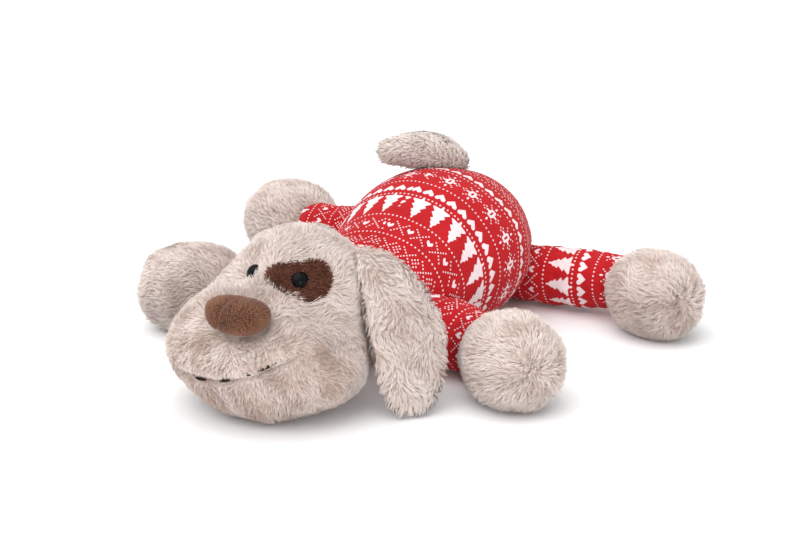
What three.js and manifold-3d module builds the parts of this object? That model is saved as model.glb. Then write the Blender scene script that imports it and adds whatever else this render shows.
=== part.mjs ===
// A plush dog lying on its belly: jersey torso and sleeves, plush head, ears, paws and tail.
// Units are millimetres. The dog faces -Y, its left side is +X, and it lies on the plane z = 0.
// Every cover is an open fabric shell round its own filling, with a small gap between the two.

import * as THREE from "three";
import { mergeVertices } from "three/addons/utils/BufferGeometryUtils.js";
import Module from "manifold-3d";

const wasm = await Module();
wasm.setup();

// ---------- driving dimensions ----------

const GAP = 0.35; // clearance between touching pieces
const FABRIC = 2.4; // thickness of a cover with its backing
const SOCKET_CLEARANCE = 0.6; // room round a ball end that turns in its socket
const FAR = 1000; // half size of the boxes used as cutting tools

const TORSO_HEART = [0, 0, 58]; // point inside both torso forms that the surface is measured from
const TORSO_FORMS = [
  { centre: [0, 17, 61], radii: [84, 102, 74] }, // belly and rump
  { centre: [0, -51, 50], radii: [68, 84, 54] }, // chest, narrowing to the neck
];
const TORSO_SEAM_HEIGHT = 40;

const HEAD_HEART = [0, -224, 55];
const HEAD_FORMS = [
  { centre: [0, -249, 45], radii: [80, 62, 48] }, // broad low muzzle
  { centre: [0, -204, 68], radii: [58, 53, 70] }, // skull
];
const BLEND_POWER = 7; // how tightly the forms of a soft body blend where they meet
const MOUTH_HEIGHT = 42;
const HEAD_BACK_SEAM = -194; // y of the seam between the side panels and the back panel

const NECK_CENTRE = [0, -143, 58];
const NECK_RADIUS = 30;
const NECK_MOUTH = 0.8; // how far behind its centre the neck tube is open, as a share of the radius

const SLEEVE_ROOT_RADIUS = 26;
const SLEEVE_CUFF_RADIUS = 24;
const SLEEVE_BULGE = 2;
const SLEEVE_MOUTH = 0.6; // how far each open end lies beyond its joint, as a share of the radius
const PAW_RADII = [38, 45, 37]; // across, along the limb, up
const PAW_REST_HEIGHT = 36;
const CUFF_STANDOFF = 12; // how far the wrist centre lies outside the paw

// Each limb: where its root and wrist turn, and the direction its paw points in plan.
const LIMBS = [
  { name: "front_left", root: [70, -98, 28], wrist: [109, -109, 32], pawHeading: [0.82, -0.57] },
  { name: "front_right", root: [-70, -98, 28], wrist: [-118, -97, 32], pawHeading: [-0.88, -0.47] },
  { name: "hind_left", root: [63, 88, 28], wrist: [144, 92, 32], pawHeading: [0.88, -0.47] },
  { name: "hind_right", root: [-70, 88, 33], wrist: [-158, 80, 40], pawHeading: [-0.94, 0.34] },
];

const EAR_WIDTH = 62;
const EAR_THICKNESS = 12;
const EAR_ROOT_WIDTH = 0.62; // width at the root, as a share of the ear's width
const EAR_FULL_WIDTH = 1.04; // the same where the ear is widest
const EAR_WIDENING = 0.7; // how far along the ear it reaches that width
const EAR_BLUNTNESS = 0.45; // 0 gives a pointed oval, 1 nearly a strip
const EARS = [
  { name: "left", root: [46, -180, 120], bend: [90, -186, 102], tip: [102, -205, 7], across: [0.6, 0.8] },
  { name: "right", root: [-46, -178, 119], bend: [-88, -173, 99], tip: [-95, -177, 7], across: [-0.5, 0.866] },
];

const TAIL_ROOT = [0, 62, 134];
const TAIL_BEND = [-12, 44, 156];
const TAIL_TIP = [-46, 12, 152];
const TAIL_RADIUS = 13;
const TAIL_TAPER = 0.2; // how much thinner the tail is at its tip
const TAIL_ENDS = 0.6; // how far its rounded ends reach past the curve, as a share of the radius
const TAIL_PLUMPNESS = 1.15; // above 1, the tail keeps its full radius nearly to its ends
const TAIL_OPENING = 0.8; // radius of the cover's open end, as a share of the tail's

const EYE_RADIUS = 7.5;
const EYE_SPREAD = 23; // sideways distance of each eye from the middle
const EYE_HEIGHT = 111;
const EYE_DOME = 0.8; // height of an eye above its seat, as a share of its radius
const EYE_SHANK_RADIUS = 2.5;
const EYE_SHANK_LENGTH = 13;
const WASHER_RADIUS = 7;
const WASHER_THICKNESS = 2;
const WASHER_TOP = -(FABRIC + 4); // height of the washer's outer face under the face

const PATCH_CENTRE = [23, 110]; // sideways and up
const PATCH_RADII = [24, 17];
const PATCH_THICKNESS = 2;

const NOSE_CENTRE = [0, -290, 90];
const NOSE_RADII = [27, 17, 15];

const MOUTH_THREAD_RADIUS = 1;
const MOUTH_REACH = 62; // degrees of the muzzle's front that the thread runs round, each way
const MOUTH_CORNER_RISE = 7; // how much higher the corners of the mouth are than its middle
const MUZZLE_REACH = 75; // about how far the muzzle's surface lies from the head's heart

// Facets round and along each soft body.
const TORSO_FACETS = [16, 12];
const HEAD_FACETS = [18, 12];
const NOSE_FACETS = [12, 7];
const EAR_FACETS = [10, 10];
const PAW_FACETS = [12, 7];
const TAIL_FACETS = [12, 8];
const SLEEVE_FACETS = 12;
const BALL_FACETS = 16;
const SOCKET_FACETS = 14;

// ---------- materials ----------

const plushFur = new THREE.MeshStandardMaterial({ color: 0xcdbbb0, roughness: 0.95 });
const brownPlush = new THREE.MeshStandardMaterial({ color: 0x5a3323, roughness: 0.95 });
const jersey = new THREE.MeshStandardMaterial({ color: 0xc81f2b, roughness: 0.85 });
const filling = new THREE.MeshStandardMaterial({ color: 0xf2f0ea, roughness: 1 });
const eyePlastic = new THREE.MeshStandardMaterial({ color: 0x080808, roughness: 0.12 });
const washerPlastic = new THREE.MeshStandardMaterial({ color: 0xe6e6e2, roughness: 0.5 });
const thread = new THREE.MeshStandardMaterial({ color: 0x1c1512, roughness: 0.6 });

// ---------- solids ----------

function bareOf(geometry) {
  const bare = geometry.clone();
  bare.deleteAttribute("normal");
  bare.deleteAttribute("uv");
  return bare;
}

function solidOf(geometry) {
  const merged = mergeVertices(bareOf(geometry), 1e-3);
  return new wasm.Manifold(
    new wasm.Mesh({
      numProp: 3,
      vertProperties: merged.attributes.position.array,
      triVerts: new Uint32Array(merged.index.array),
    }),
  );
}

function meshOf(name, solid, material) {
  const result = solid.getMesh();
  const geometry = new THREE.BufferGeometry();
  geometry.setAttribute("position", new THREE.BufferAttribute(result.vertProperties, result.numProp));
  geometry.setIndex(new THREE.BufferAttribute(result.triVerts, 1));
  geometry.computeVertexNormals();
  const mesh = new THREE.Mesh(geometry, material);
  mesh.name = name;
  return mesh;
}

function boxBetween(low, high) {
  const size = low.map((value, axis) => high[axis] - value);
  const geometry = new THREE.BoxGeometry(...size);
  geometry.translate(...low.map((value, axis) => value + size[axis] / 2));
  return solidOf(geometry);
}

const above = (z) => boxBetween([-FAR, -FAR, z], [FAR, FAR, FAR]);
const below = (z) => boxBetween([-FAR, -FAR, -FAR], [FAR, FAR, z]);
const behind = (y) => boxBetween([-FAR, y, -FAR], [FAR, FAR, FAR]);
const before = (y) => boxBetween([-FAR, -FAR, -FAR], [FAR, y, FAR]);
const leftOf = (x) => boxBetween([x, -FAR, -FAR], [FAR, FAR, FAR]);
const rightOf = (x) => boxBetween([-FAR, -FAR, -FAR], [x, FAR, FAR]);

function ball(centre, radius, segments = BALL_FACETS) {
  const geometry = new THREE.SphereGeometry(radius, segments, segments / 2);
  geometry.translate(...centre);
  return solidOf(geometry);
}

// A ball-shaped cutter whose flat facets stay outside the given radius.
function socketRound(centre, radius) {
  const facetAllowance = Math.cos(Math.PI / SOCKET_FACETS) ** 2;
  return ball(centre, (radius + SOCKET_CLEARANCE) / facetAllowance, SOCKET_FACETS);
}

// A unit sphere with its poles along Y, so that rings of vertices run round the body.
function unitSphere(around, along) {
  return mergeVertices(bareOf(new THREE.SphereGeometry(1, around, along)), 1e-6);
}

// Moves every vertex of a geometry with a function of (vector), then returns the geometry.
function warp(geometry, move) {
  const position = geometry.attributes.position;
  const vertex = new THREE.Vector3();
  for (let i = 0; i < position.count; i += 1) {
    vertex.fromBufferAttribute(position, i);
    move(vertex);
    position.setXYZ(i, vertex.x, vertex.y, vertex.z);
  }
  return geometry;
}

// Moves every vertex inwards along its own smooth normal.
function shrunk(geometry, depth) {
  const inner = geometry.clone();
  inner.computeVertexNormals();
  const position = inner.attributes.position;
  const normal = inner.attributes.normal;
  for (let i = 0; i < position.count; i += 1) {
    position.setXYZ(
      i,
      position.getX(i) - depth * normal.getX(i),
      position.getY(i) - depth * normal.getY(i),
      position.getZ(i) - depth * normal.getZ(i),
    );
  }
  inner.deleteAttribute("normal");
  return inner;
}

// Distance from a heart point to the far side of an ellipsoid, along a unit direction.
function reachOf(form, heart, direction) {
  const from = form.centre.map((value, axis) => (heart[axis] - value) / form.radii[axis]);
  const along = form.radii.map((radius, axis) => direction.getComponent(axis) / radius);
  const a = along.reduce((sum, value) => sum + value * value, 0);
  const b = along.reduce((sum, value, axis) => sum + value * from[axis], 0);
  const c = from.reduce((sum, value) => sum + value * value, 0) - 1;
  return (-b + Math.sqrt(b * b - a * c)) / a;
}

// Distance from the heart to the surface of a soft body, along a unit direction.
function softReach(heart, forms, direction) {
  const total = forms.reduce((sum, form) => sum + reachOf(form, heart, direction) ** BLEND_POWER, 0);
  return total ** (1 / BLEND_POWER);
}

// One soft body grown from several ellipsoids round a common heart, blended where they meet.
function softBody(heart, forms, facets) {
  return warp(unitSphere(...facets), (vertex) => {
    vertex.normalize();
    vertex.multiplyScalar(softReach(heart, forms, vertex));
    vertex.add(new THREE.Vector3(...heart));
  });
}

// The outside of a body, the room inside its cover, and its filling, all cut flat at the floor.
function layersOf(geometry) {
  return {
    outside: solidOf(geometry).intersect(above(0)),
    room: solidOf(shrunk(geometry, FABRIC)).intersect(above(FABRIC)),
    filling: solidOf(shrunk(geometry, FABRIC + GAP)).intersect(above(FABRIC + GAP)),
  };
}

const dog = new THREE.Group();

// ---------- neck sockets shared by torso and head ----------

const neckSocket = socketRound(NECK_CENTRE, NECK_RADIUS);

// ---------- limb tables worked out from the driving dimensions ----------

const limbs = LIMBS.map((limb) => {
  const root = new THREE.Vector3(...limb.root);
  const wrist = new THREE.Vector3(...limb.wrist);
  const heading = new THREE.Vector3(...limb.pawHeading, 0).normalize();
  const paw = wrist.clone().addScaledVector(heading, PAW_RADII[1] + CUFF_STANDOFF);
  paw.z = PAW_REST_HEIGHT;
  return { name: limb.name, root, wrist, heading, paw };
});

// ---------- torso ----------

function buildTorso() {
  const torso = layersOf(softBody(TORSO_HEART, TORSO_FORMS, TORSO_FACETS));
  const sockets = limbs.map((limb) => socketRound(limb.root.toArray(), SLEEVE_ROOT_RADIUS));
  sockets.push(neckSocket);
  sockets.push(socketRound(TAIL_ROOT, TAIL_RADIUS));
  const cut = (solid) => sockets.reduce((rest, socket) => rest.subtract(socket), solid);
  const cover = cut(torso.outside.subtract(torso.room));
  dog.add(meshOf("torso_cover_back", cover.intersect(above(TORSO_SEAM_HEIGHT + GAP / 2)), jersey));
  dog.add(meshOf("torso_cover_belly", cover.intersect(below(TORSO_SEAM_HEIGHT - GAP / 2)), jersey));
  dog.add(meshOf("torso_filling", cut(torso.filling), filling));
}

// ---------- neck ----------

function buildNeck() {
  const cover = ball(NECK_CENTRE, NECK_RADIUS);
  const inside = ball(NECK_CENTRE, NECK_RADIUS - FABRIC);
  const stuffing = ball(NECK_CENTRE, NECK_RADIUS - FABRIC - GAP);
  const mouth = NECK_CENTRE[1] + NECK_RADIUS * NECK_MOUTH; // the neck tube is open towards the torso
  dog.add(meshOf("neck_cover", cover.subtract(inside).intersect(before(mouth)), jersey));
  dog.add(meshOf("neck_filling", stuffing.intersect(before(mouth)), filling));
}

// ---------- head ----------

const headGeometry = softBody(HEAD_HEART, HEAD_FORMS, HEAD_FACETS);

// The place on the head's surface straight in front of a point (x, z) of the face,
// found by halving the depth between one inside the head and one well in front of it.
function facePoint(x, z) {
  const towards = new THREE.Vector3();
  let low = 0;
  let high = 200;
  for (let step = 0; step < 40; step += 1) {
    const depth = (low + high) / 2;
    towards.set(x, -depth, z - HEAD_HEART[2]);
    const distance = towards.length();
    if (distance < softReach(HEAD_HEART, HEAD_FORMS, towards.normalize())) low = depth;
    else high = depth;
  }
  return new THREE.Vector3(x, HEAD_HEART[1] - low, z);
}

// The direction an eye looks in: the surface normal where it sits.
function faceNormal(x, z) {
  const step = 4;
  const sideways = facePoint(x + step, z).sub(facePoint(x - step, z));
  const upwards = facePoint(x, z + step).sub(facePoint(x, z - step));
  return sideways.cross(upwards).normalize();
}

const eyes = [
  { name: "left", x: EYE_SPREAD },
  { name: "right", x: -EYE_SPREAD },
].map((eye) => {
  const place = facePoint(eye.x, EYE_HEIGHT);
  const look = faceNormal(eye.x, EYE_HEIGHT);
  return { ...eye, place, look };
});

// A lathed solid standing on the face, its axis along the eye's look and its zero at the surface.
function latheOnFace(eye, profile, segments) {
  const geometry = new THREE.LatheGeometry(profile.map(([r, h]) => new THREE.Vector2(r, h)), segments);
  const turn = new THREE.Quaternion().setFromUnitVectors(new THREE.Vector3(0, 1, 0), eye.look);
  geometry.applyQuaternion(turn);
  geometry.translate(...eye.place.toArray());
  return solidOf(geometry);
}

const rod = (radius, low, high) => [[0, low], [radius, low], [radius, high], [0, high]];

function buildEyes(patchTop) {
  for (const eye of eyes) {
    const seat = patchTop + GAP;
    const dome = [[0, -EYE_SHANK_LENGTH], [EYE_SHANK_RADIUS, -EYE_SHANK_LENGTH], [EYE_SHANK_RADIUS, seat]];
    const steps = 6;
    for (let i = 0; i < steps; i += 1) {
      const angle = (i / steps) * (Math.PI / 2);
      dome.push([EYE_RADIUS * Math.cos(angle), seat + EYE_RADIUS * EYE_DOME * Math.sin(angle)]);
    }
    dome.push([0, seat + EYE_RADIUS * EYE_DOME]);
    dog.add(meshOf(`eye_${eye.name}`, latheOnFace(eye, dome, 14), eyePlastic));
    const bore = EYE_SHANK_RADIUS + GAP;
    const ring = [
      [bore, WASHER_TOP - WASHER_THICKNESS],
      [WASHER_RADIUS, WASHER_TOP - WASHER_THICKNESS],
      [WASHER_RADIUS, WASHER_TOP],
      [bore, WASHER_TOP],
      [bore, WASHER_TOP - WASHER_THICKNESS],
    ];
    dog.add(meshOf(`eye_washer_${eye.name}`, latheOnFace(eye, ring, 12), washerPlastic));
  }
}

// The oval patch: a skin just outside the head, cut out by an oval seen from the front.
function buildPatch() {
  const lower = solidOf(shrunk(headGeometry, -GAP));
  const upper = solidOf(shrunk(headGeometry, -GAP - PATCH_THICKNESS));
  const oval = new THREE.CylinderGeometry(1, 1, 90, 24);
  oval.scale(PATCH_RADII[0], 1, PATCH_RADII[1]);
  oval.translate(PATCH_CENTRE[0], HEAD_HEART[1] - 30, PATCH_CENTRE[1]);
  const eyeHole = latheOnFace(eyes[0], rod(EYE_SHANK_RADIUS + GAP, -20, 20), 10);
  const patch = upper.subtract(lower).intersect(solidOf(oval)).subtract(eyeHole);
  dog.add(meshOf("eye_patch", patch, brownPlush));
}

function buildNose() {
  const geometry = warp(unitSphere(...NOSE_FACETS), (vertex) => {
    vertex.multiply(new THREE.Vector3(...NOSE_RADII)).add(new THREE.Vector3(...NOSE_CENTRE));
  });
  const clearOfFace = solidOf(shrunk(headGeometry, -GAP));
  const cover = solidOf(geometry).subtract(solidOf(shrunk(geometry, FABRIC)));
  dog.add(meshOf("nose_cover", cover.subtract(clearOfFace), brownPlush));
  dog.add(meshOf("nose_filling", solidOf(shrunk(geometry, FABRIC + GAP)).subtract(clearOfFace), filling));
}

function buildMouth() {
  const steps = 14;
  const points = Array.from({ length: steps + 1 }, (_, i) => {
    const share = (2 * i) / steps - 1; // -1 at the right corner of the mouth, 1 at the left
    const angle = THREE.MathUtils.degToRad(MOUTH_REACH * share);
    const height = MOUTH_HEIGHT + MOUTH_CORNER_RISE * share ** 2 - HEAD_HEART[2];
    const direction = new THREE.Vector3(Math.sin(angle), -Math.cos(angle), height / MUZZLE_REACH);
    direction.normalize();
    const reach = softReach(HEAD_HEART, HEAD_FORMS, direction) + MOUTH_THREAD_RADIUS + GAP;
    return direction.multiplyScalar(reach).add(new THREE.Vector3(...HEAD_HEART));
  });
  const route = new THREE.CatmullRomCurve3(points);
  const section = new THREE.Shape();
  section.absarc(0, 0, MOUTH_THREAD_RADIUS, 0, Math.PI * 2);
  const tube = new THREE.ExtrudeGeometry(section, { steps: 20, extrudePath: route, curveSegments: 3 });
  dog.add(meshOf("mouth_thread", solidOf(tube), thread));
}

function buildHead() {
  const head = layersOf(headGeometry);
  const shanks = eyes.map((eye) => latheOnFace(eye, rod(EYE_SHANK_RADIUS + GAP, -EYE_SHANK_LENGTH - GAP, 20), 10));
  const washerRooms = eyes.map((eye) =>
    latheOnFace(eye, rod(WASHER_RADIUS + GAP, WASHER_TOP - WASHER_THICKNESS - GAP, 20), 16),
  );
  const open = (solid, tools) => tools.reduce((rest, tool) => rest.subtract(tool), solid);
  const cover = open(head.outside.subtract(head.room), [...shanks, neckSocket]);
  const upper = cover.intersect(above(MOUTH_HEIGHT + GAP / 2));
  const front = upper.intersect(before(HEAD_BACK_SEAM - GAP / 2));
  dog.add(meshOf("head_side_left", front.intersect(leftOf(GAP / 2)), plushFur));
  dog.add(meshOf("head_side_right", front.intersect(rightOf(-GAP / 2)), plushFur));
  dog.add(meshOf("head_back", upper.intersect(behind(HEAD_BACK_SEAM + GAP / 2)), plushFur));
  dog.add(meshOf("head_chin", cover.intersect(below(MOUTH_HEIGHT - GAP / 2)), plushFur));
  dog.add(meshOf("head_filling", open(head.filling, [...shanks, ...washerRooms, neckSocket]), filling));
  buildEyes(GAP + PATCH_THICKNESS);
  buildPatch();
  buildNose();
  buildMouth();
}

// ---------- ears ----------

// An ear panel: half a flat lens, narrow at the root, bent along the ear's curve.
function earPanel(ear, face) {
  const curve = new THREE.QuadraticBezierCurve3(
    new THREE.Vector3(...ear.root),
    new THREE.Vector3(...ear.bend),
    new THREE.Vector3(...ear.tip),
  );
  const across = new THREE.Vector3(...ear.across, 0).normalize();
  const half = EAR_THICKNESS / 2;
  return warp(unitSphere(...EAR_FACETS), (vertex) => {
    const along = (vertex.y + 1) / 2;
    const widthHere = THREE.MathUtils.lerp(EAR_ROOT_WIDTH, EAR_FULL_WIDTH, Math.min(1, along / EAR_WIDENING));
    const blunt = Math.max(0.2, Math.hypot(vertex.x, vertex.z)) ** -EAR_BLUNTNESS;
    const side = (vertex.x * blunt * EAR_WIDTH * widthHere) / 2;
    const depth = vertex.z > 0 ? GAP / 2 + vertex.z * (half - GAP / 2) : GAP / 2;
    const centre = curve.getPoint(along);
    const forward = curve.getTangent(along);
    const outward = new THREE.Vector3().crossVectors(across, forward).normalize();
    if (outward.x * ear.root[0] < 0) outward.negate();
    vertex.copy(centre).addScaledVector(across, side).addScaledVector(outward, depth * face);
  });
}

// The same surface with its triangles turned over.
function flipped(geometry) {
  const result = geometry.clone();
  const index = result.index.array;
  for (let i = 0; i < index.length; i += 3) [index[i], index[i + 1]] = [index[i + 1], index[i]];
  return result;
}

function buildEars() {
  for (const ear of EARS) {
    for (const [label, face] of [["outer", 1], ["inner", -1]]) {
      const geometry = earPanel(ear, face);
      let solid = solidOf(geometry);
      if (solid.volume() < 0) solid = solidOf(flipped(geometry));
      dog.add(meshOf(`ear_${ear.name}_${label}`, solid, plushFur));
    }
  }
}

// ---------- limbs ----------

// A solid of revolution from one point to another, given its radius at stations along the way.
function taperedBody(start, end, stations, segments) {
  const axis = new THREE.Vector3().subVectors(end, start);
  const geometry = new THREE.LatheGeometry(stations.map(([r, h]) => new THREE.Vector2(r, h)), segments);
  const turn = new THREE.Quaternion().setFromUnitVectors(new THREE.Vector3(0, 1, 0), axis.normalize());
  geometry.applyQuaternion(turn);
  geometry.translate(...start.toArray());
  return geometry;
}

// Sleeve outline: a ball end at the root, a slight bulge, a ball end at the cuff.
function sleeveStations(length) {
  const steps = 3;
  const angles = Array.from({ length: steps }, (_, i) => (i / steps) * (Math.PI / 2));
  const rootEnd = angles.map((angle) => [SLEEVE_ROOT_RADIUS * Math.sin(angle), -SLEEVE_ROOT_RADIUS * Math.cos(angle)]);
  const middle = (SLEEVE_ROOT_RADIUS + SLEEVE_CUFF_RADIUS) / 2 + SLEEVE_BULGE;
  const cuffEnd = angles.map((angle) => [
    SLEEVE_CUFF_RADIUS * Math.cos(angle),
    length + SLEEVE_CUFF_RADIUS * Math.sin(angle),
  ]);
  return [
    ...rootEnd,
    [SLEEVE_ROOT_RADIUS, 0],
    [middle, length / 2],
    ...cuffEnd,
    [0, length + SLEEVE_CUFF_RADIUS],
  ];
}

function buildSleeve(limb) {
  const length = limb.wrist.distanceTo(limb.root);
  const body = (stations) => taperedBody(limb.root, limb.wrist, stations, SLEEVE_FACETS);
  const outside = body(sleeveStations(length));
  const merged = mergeVertices(bareOf(outside), 1e-3);
  const tubeStart = -SLEEVE_ROOT_RADIUS * SLEEVE_MOUTH;
  const tubeEnd = length + SLEEVE_CUFF_RADIUS * SLEEVE_MOUTH;
  const tube = body([[0, tubeStart], [FAR, tubeStart], [FAR, tubeEnd], [0, tubeEnd]]);
  const shell = solidOf(merged).subtract(solidOf(shrunk(merged, FABRIC)));
  dog.add(meshOf(`sleeve_${limb.name}`, shell.intersect(solidOf(tube)), jersey));
  dog.add(meshOf(`sleeve_filling_${limb.name}`, solidOf(shrunk(merged, FABRIC + GAP)), filling));
}

function buildPaw(limb) {
  const yaw = Math.atan2(limb.heading.y, limb.heading.x) - Math.PI / 2;
  const geometry = warp(unitSphere(...PAW_FACETS), (vertex) => {
    vertex.multiply(new THREE.Vector3(...PAW_RADII));
    vertex.applyAxisAngle(new THREE.Vector3(0, 0, 1), yaw);
    vertex.add(limb.paw);
  });
  const paw = layersOf(geometry);
  const socket = socketRound(limb.wrist.toArray(), SLEEVE_CUFF_RADIUS);
  dog.add(meshOf(`paw_${limb.name}`, paw.outside.subtract(paw.room).subtract(socket), plushFur));
  dog.add(meshOf(`paw_filling_${limb.name}`, paw.filling.subtract(socket), filling));
}

// ---------- tail ----------

function buildTail() {
  const curve = new THREE.QuadraticBezierCurve3(
    new THREE.Vector3(...TAIL_ROOT),
    new THREE.Vector3(...TAIL_BEND),
    new THREE.Vector3(...TAIL_TIP),
  );
  const up = new THREE.Vector3(0, 0, 1);
  const geometry = warp(unitSphere(...TAIL_FACETS), (vertex) => {
    const along = (vertex.y + 1) / 2;
    const plump = Math.min(1, Math.hypot(vertex.x, vertex.z) * TAIL_PLUMPNESS);
    const angle = Math.atan2(vertex.z, vertex.x);
    const forward = curve.getTangent(along);
    const sideways = new THREE.Vector3().crossVectors(forward, up).normalize();
    const upwards = new THREE.Vector3().crossVectors(sideways, forward);
    const radius = TAIL_RADIUS * (1 - TAIL_TAPER * along) * plump;
    vertex.copy(curve.getPoint(along)).addScaledVector(forward, (2 * along - 1) * TAIL_RADIUS * TAIL_ENDS);
    vertex.addScaledVector(sideways, radius * Math.cos(angle));
    vertex.addScaledVector(upwards, radius * Math.sin(angle));
  });
  const backwards = curve.getTangent(0).multiplyScalar(-TAIL_RADIUS);
  const opening = ball(new THREE.Vector3(...TAIL_ROOT).add(backwards).toArray(), TAIL_RADIUS * TAIL_OPENING, 12);
  const shell = solidOf(geometry).subtract(solidOf(shrunk(geometry, FABRIC)));
  dog.add(meshOf("tail_cover", shell.subtract(opening), plushFur));
  dog.add(meshOf("tail_filling", solidOf(shrunk(geometry, FABRIC + GAP)), filling));
}

// ---------- assembly ----------

buildTorso();
buildNeck();
buildHead();
buildEars();
for (const limb of limbs) {
  buildSleeve(limb);
  buildPaw(limb);
}
buildTail();

export default dog;
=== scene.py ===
import math

import bmesh
import bpy
import numpy as np
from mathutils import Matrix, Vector


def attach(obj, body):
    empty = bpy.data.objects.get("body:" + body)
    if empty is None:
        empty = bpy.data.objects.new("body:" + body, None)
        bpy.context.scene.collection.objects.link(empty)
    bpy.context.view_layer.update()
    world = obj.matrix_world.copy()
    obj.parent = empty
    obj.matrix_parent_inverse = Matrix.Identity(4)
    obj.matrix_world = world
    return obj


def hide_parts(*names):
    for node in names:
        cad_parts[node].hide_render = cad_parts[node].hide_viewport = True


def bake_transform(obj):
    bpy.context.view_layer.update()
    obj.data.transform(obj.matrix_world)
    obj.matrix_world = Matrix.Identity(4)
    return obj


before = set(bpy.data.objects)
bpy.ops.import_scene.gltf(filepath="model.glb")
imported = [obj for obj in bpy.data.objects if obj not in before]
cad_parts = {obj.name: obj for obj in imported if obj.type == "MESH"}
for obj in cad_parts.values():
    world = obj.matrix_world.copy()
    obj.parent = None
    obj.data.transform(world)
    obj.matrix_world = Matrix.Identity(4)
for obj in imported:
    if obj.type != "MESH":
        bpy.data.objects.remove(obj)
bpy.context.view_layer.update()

# A floppy plush dog lying on its belly. Shapes are worked out in millimetres and made in metres.
MM = 0.001
FLOOR_CLEARANCE = 0.4

# ---------- forms that the CAD frame uses too ----------

BLEND_POWER = 7
TORSO_HEART = np.array([0.0, 0.0, 58.0])
TORSO_FORMS = [([0, 17, 61], [84, 102, 74]), ([0, -51, 50], [68, 84, 54])]
TORSO_SEAM_HEIGHT = 40
HEAD_HEART = np.array([0.0, -224.0, 55.0])
HEAD_FORMS = [([0, -249, 45], [80, 62, 48]), ([0, -204, 68], [58, 53, 70])]
MOUTH_HEIGHT = 42
NECK_CENTRE = np.array([0.0, -143.0, 58.0])
SLEEVE_ROOT_RADIUS = 26
SLEEVE_CUFF_RADIUS = 24
SLEEVE_BULGE = 2
PAW_RADII = [38, 45, 37]
PAW_HEIGHT = 36
PAW_FULLNESS = {  # how full each paw is stuffed: across, along the limb, up
    "front_left": [1.0, 1.0, 1.0],
    "front_right": [1.08, 1.08, 1.04],
    "hind_left": [1.0, 1.0, 1.0],
    "hind_right": [1.17, 1.17, 1.04],
}
PAW_STANDOFF = 57
LIMBS = {
    "front_left": ([70, -98, 28], [109, -109, 32], [0.82, -0.57]),
    "front_right": ([-70, -98, 28], [-118, -97, 32], [-0.88, -0.47]),
    "hind_left": ([63, 88, 28], [144, 92, 32], [0.88, -0.47]),
    "hind_right": ([-70, 88, 33], [-158, 80, 40], [-0.94, 0.34]),
}
EAR_WIDTH = 62
EAR_THICKNESS = 12
EARS = {
    "left": ([40, -183, 121], [90, -186, 103], [102, -205, 7], [0.6, 0.8, 0]),
    "right": ([-44, -178, 119], [-84, -171, 95], [-92, -173, 8], [-0.5, 0.866, 0]),
}
TAIL_POINTS = [[-2, 61, 130], [-14, 43, 151], [-48, 11, 147]]
TAIL_RADIUS = 15.5
EYE_RADIUS = 7.2
EYE_SPREADS = {"left": 23, "right": -19.5}
EYE_HEIGHT = 109.5
EYE_SEATS = {"left": -1.2, "right": -2.2}
NOSE_CENTRE = np.array([0.0, -290.0, 90.0])
NOSE_RADII = np.array([27.0, 17.0, 15.0])
UP = np.array([0, 0, 1.0])


# ---------- numbers ----------

def unit(vectors):
    vectors = np.asarray(vectors, float)
    length = np.linalg.norm(vectors, axis=-1, keepdims=True)
    return vectors / np.maximum(length, 1e-9)


def ripple(points, wavelength, seed):
    """Smooth noise, mostly between -1 and 1."""
    source = np.random.default_rng(seed)
    total = np.zeros(len(points))
    for _ in range(7):
        direction = unit(source.normal(size=3))
        stretch = source.uniform(0.7, 1.5)
        phase = source.uniform(0, 2 * math.pi)
        total += np.sin(points @ direction * (2 * math.pi / (wavelength * stretch)) + phase)
    return total / 3


def bump(distance, width):
    """1 at distance 0, falling smoothly to nothing past the width."""
    return np.exp(-((distance / width) ** 2))


def away_from(place, points):
    """Distance of each point from a place."""
    return np.linalg.norm(points - place, axis=1)


def smoothstep(low, high, value):
    t = np.clip((value - low) / (high - low), 0, 1)
    return t * t * (3 - 2 * t)


def soft_reach(directions, heart, forms):
    """Distance from the heart to a soft body's surface along each unit direction."""
    total = 0
    for centre, radii in forms:
        start = (heart - np.array(centre, float)) / radii
        along = directions / np.array(radii, float)
        a = (along ** 2).sum(-1)
        b = along @ start
        c = start @ start - 1
        total = total + ((-b + np.sqrt(b * b - a * c)) / a) ** BLEND_POWER
    return total ** (1 / BLEND_POWER)


def sphere_grid(count):
    """Unit directions and quads of a cube blown up into a sphere."""
    t = np.tan(np.linspace(-1, 1, count + 1) * math.pi / 4)
    a, b = np.meshgrid(t, t, indexing="ij")
    points, quads = [], []
    for axis in range(3):
        for sign in (1, -1):
            side = np.empty(a.shape + (3,))
            side[..., axis] = sign
            side[..., (axis + 1) % 3] = a * sign
            side[..., (axis + 2) % 3] = b
            index = np.arange(a.size).reshape(a.shape) + len(points) * a.size
            points.append(side.reshape(-1, 3))
            corners = [index[:-1, :-1], index[1:, :-1], index[1:, 1:], index[:-1, 1:]]
            quads.append(np.stack(corners, -1).reshape(-1, 4))
    points = unit(np.vstack(points))
    _, first, inverse = np.unique(points.round(5), axis=0, return_index=True, return_inverse=True)
    return points[first], inverse.reshape(-1)[np.vstack(quads)]


def vertex_normals(points, faces):
    """Normals at the corners of a mesh of quads."""
    corner = points[faces]
    normal = np.cross(corner[:, 2] - corner[:, 0], corner[:, 3] - corner[:, 1])
    total = np.zeros_like(points)
    for k in range(4):
        np.add.at(total, faces[:, k], normal)
    return unit(total)


def facing_out(points, faces, middle):
    """The faces, turned over when they look towards the middle."""
    if ((points - middle) * vertex_normals(points, faces)).sum() < 0:
        return faces[:, ::-1]
    return faces


def ripples(points, wavelength, first_seed):
    """Smooth noise in all three directions."""
    return np.stack([ripple(points, wavelength, first_seed + k) for k in range(3)], 1)


def above_floor(points):
    points[..., 2] = np.maximum(points[..., 2], FLOOR_CLEARANCE)
    return points


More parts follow.
